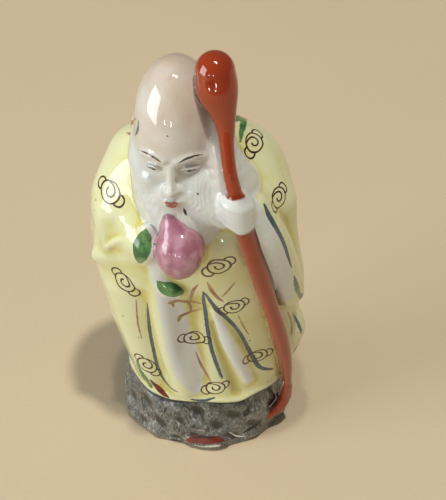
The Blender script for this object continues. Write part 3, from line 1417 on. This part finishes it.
def stored(name):
    return r.node("GeometryNodeInputNamedAttribute", {"Name": name}, data_type="FLOAT").outputs[0]


where = r.node("GeometryNodeInputPosition").outputs[0]
facing = r.node("GeometryNodeInputNormal").outputs[0]
wrinkle = r.node("ShaderNodeTexNoise", {"Vector": where, "W": given["Seed"], "Scale": given["Rock Grain"],
                                        "Detail": 4.0, "Distortion": 1.6}, noise_dimensions="4D").outputs[0]
ridges = r.math("ABSOLUTE", r.less(wrinkle, 0.5))
rock_lift = r.times(r.times(r.less(0.12, ridges), 4.0), r.times(given["Rock Depth"], stored("rock_relief")))
sway = r.node("ShaderNodeTexNoise", {"Vector": where, "W": given["Seed"], "Scale": 0.22, "Detail": 1.0},
              noise_dimensions="4D").outputs[0]
phase = r.math("DIVIDE", r.add(stored("comb"), r.times(sway, 5.0)), given["Beard Spacing"])
waves = r.math("SINE", r.times(phase, 2 * math.pi))
beard_lift = r.times(r.times(waves, given["Beard Depth"]), stored("beard_relief"))
lift = r.node("ShaderNodeVectorMath", {0: facing, 3: r.add(rock_lift, beard_lift)}, operation="SCALE").outputs[0]
moved = r.node("GeometryNodeSetPosition", {"Geometry": given["Geometry"], "Offset": lift}).outputs[0]
real = r.node("GeometryNodeRealizeInstances", {0: moved}).outputs[0]
glazed = r.node("GeometryNodeSetMaterial", {"Geometry": real, "Material": given["Glaze"]}).outputs[0]
level = r.node("ShaderNodeSeparateXYZ", {0: where}).outputs[2]
middle = r.node("ShaderNodeVectorMath", {0: where}, operation="LENGTH").outputs["Value"]
underneath = r.math("MAXIMUM", r.math("LESS_THAN", level, 0.12), r.math("LESS_THAN", middle, 9.0))
bare = r.node("GeometryNodeSetMaterial", {"Geometry": glazed, "Selection": underneath,
                                          "Material": given["Clay"]}).outputs[0]
r.tree.links.new(bare, relief_tree.nodes.new("NodeGroupOutput").inputs[0])

# %% Running the tree, and the finished piece
carrier = bpy.data.objects.new("relief_carrier", shape)
bpy.context.scene.collection.objects.link(carrier)
step = carrier.modifiers.new("figure relief", "NODES")
step.node_group = relief_tree
for item in relief_tree.interface.items_tree:
    if item.in_out == "INPUT" and item.socket_type == "NodeSocketMaterial":
        step[item.identifier] = glaze if item.name == "Glaze" else clay
evaluated = carrier.evaluated_get(bpy.context.evaluated_depsgraph_get())
finished = bpy.data.meshes.new_from_object(evaluated)
bpy.data.objects.remove(carrier)
finished.name = "porcelain_body"
finished.transform(Matrix.Translation(Vector(AXIS)))
finished.transform(Matrix.Scale(MM, 4))
figure = bpy.data.objects.new("porcelain_body", finished)
bpy.context.scene.collection.objects.link(figure)
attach(figure, "root")
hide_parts(SOLID)
print("finished figure", len(finished.polygons), "faces,", len(finished.materials), "materials")

# %% [markdown]
# ## Floor and light
# The figure stands on warm pale paper. Two small lamps hang over it: one to the right throws the wide shadow
# at the left, and one almost overhead throws the small shadow at the right. A broad soft light at the left
# fills the front. Narrow strips in front give the small bright marks on the forehead.

# %% The floor
FLOOR_SIZE = 1.6
sheet_mesh = bpy.data.meshes.new("floor")
half = FLOOR_SIZE / 2
sheet_mesh.from_pydata([(-half, -half, 0), (half, -half, 0), (half, half, 0), (-half, half, 0)], [], [(0, 1, 2, 3)])
floor = bpy.data.objects.new("floor", sheet_mesh)
bpy.context.scene.collection.objects.link(floor)
paper = bpy.data.materials.new("pale_paper")
paper.use_nodes = True
paper.node_tree.nodes.clear()
w = Wires(paper.node_tree)
place = w.node("ShaderNodeTexCoord").outputs["Object"]
tone = w.mix(w.noise(place, 9, 3), colour(214, 198, 168), colour(206, 188, 158))
fibre = w.node("ShaderNodeBump", {"Height": w.noise(place, 900, 4), "Strength": 0.15, "Distance": 0.0004})
shader = w.node("ShaderNodeBsdfPrincipled", {"Base Color": tone, "Roughness": 0.8, "Normal": fibre.outputs[0]})
w.node("ShaderNodeOutputMaterial", {0: shader.outputs[0]})
sheet_mesh.materials.append(paper)

# %% The lamps
MIDDLE = Vector((0, 0, 0.05))


def lamp(name, direction, away, size, power, tint=(1, 1, 1), high=None):
    """An area lamp that looks at the figure from a direction."""
    light = bpy.data.lights.new(name, "AREA")
    light.shape = "RECTANGLE" if high else "DISK"
    light.size, light.energy, light.color = size, power, tint
    if high:
        light.size_y = high
    holder = bpy.data.objects.new(name, light)
    outward = Vector(direction).normalized()
    holder.location = MIDDLE + outward * away
    holder.rotation_euler = outward.to_track_quat("Z", "Y").to_euler()
    bpy.context.scene.collection.objects.link(holder)
    return holder


def direction(azimuth, elevation):
    a, e = math.radians(azimuth), math.radians(elevation)
    return math.sin(a) * math.cos(e), -math.cos(a) * math.cos(e), math.sin(e)


lamp("right_lamp", (0.17, -0.13, 0.978), 1.5, 0.09, 11, (1, 0.95, 0.86))
lamp("top_lamp", (0, -0.1, 1), 1.5, 0.06, 4, (1, 0.95, 0.86))
lamp("left_window", direction(-65, 12), 1.2, 0.8, 12, (0.94, 0.98, 1.0), high=0.9)
lamp("strip_a", direction(-22, 8), 0.9, 0.02, 0.25, (1, 1, 1), high=0.07)
lamp("strip_b", direction(-2, 8), 0.9, 0.02, 0.25, (1, 1, 1), high=0.07)
world = bpy.data.worlds.new("room")
world.use_nodes = True
world.node_tree.nodes["Background"].inputs["Color"].default_value = colour(226, 222, 214)
world.node_tree.nodes["Background"].inputs["Strength"].default_value = 0.18
bpy.context.scene.world = world
bpy.context.scene.view_settings.view_transform = "Standard"
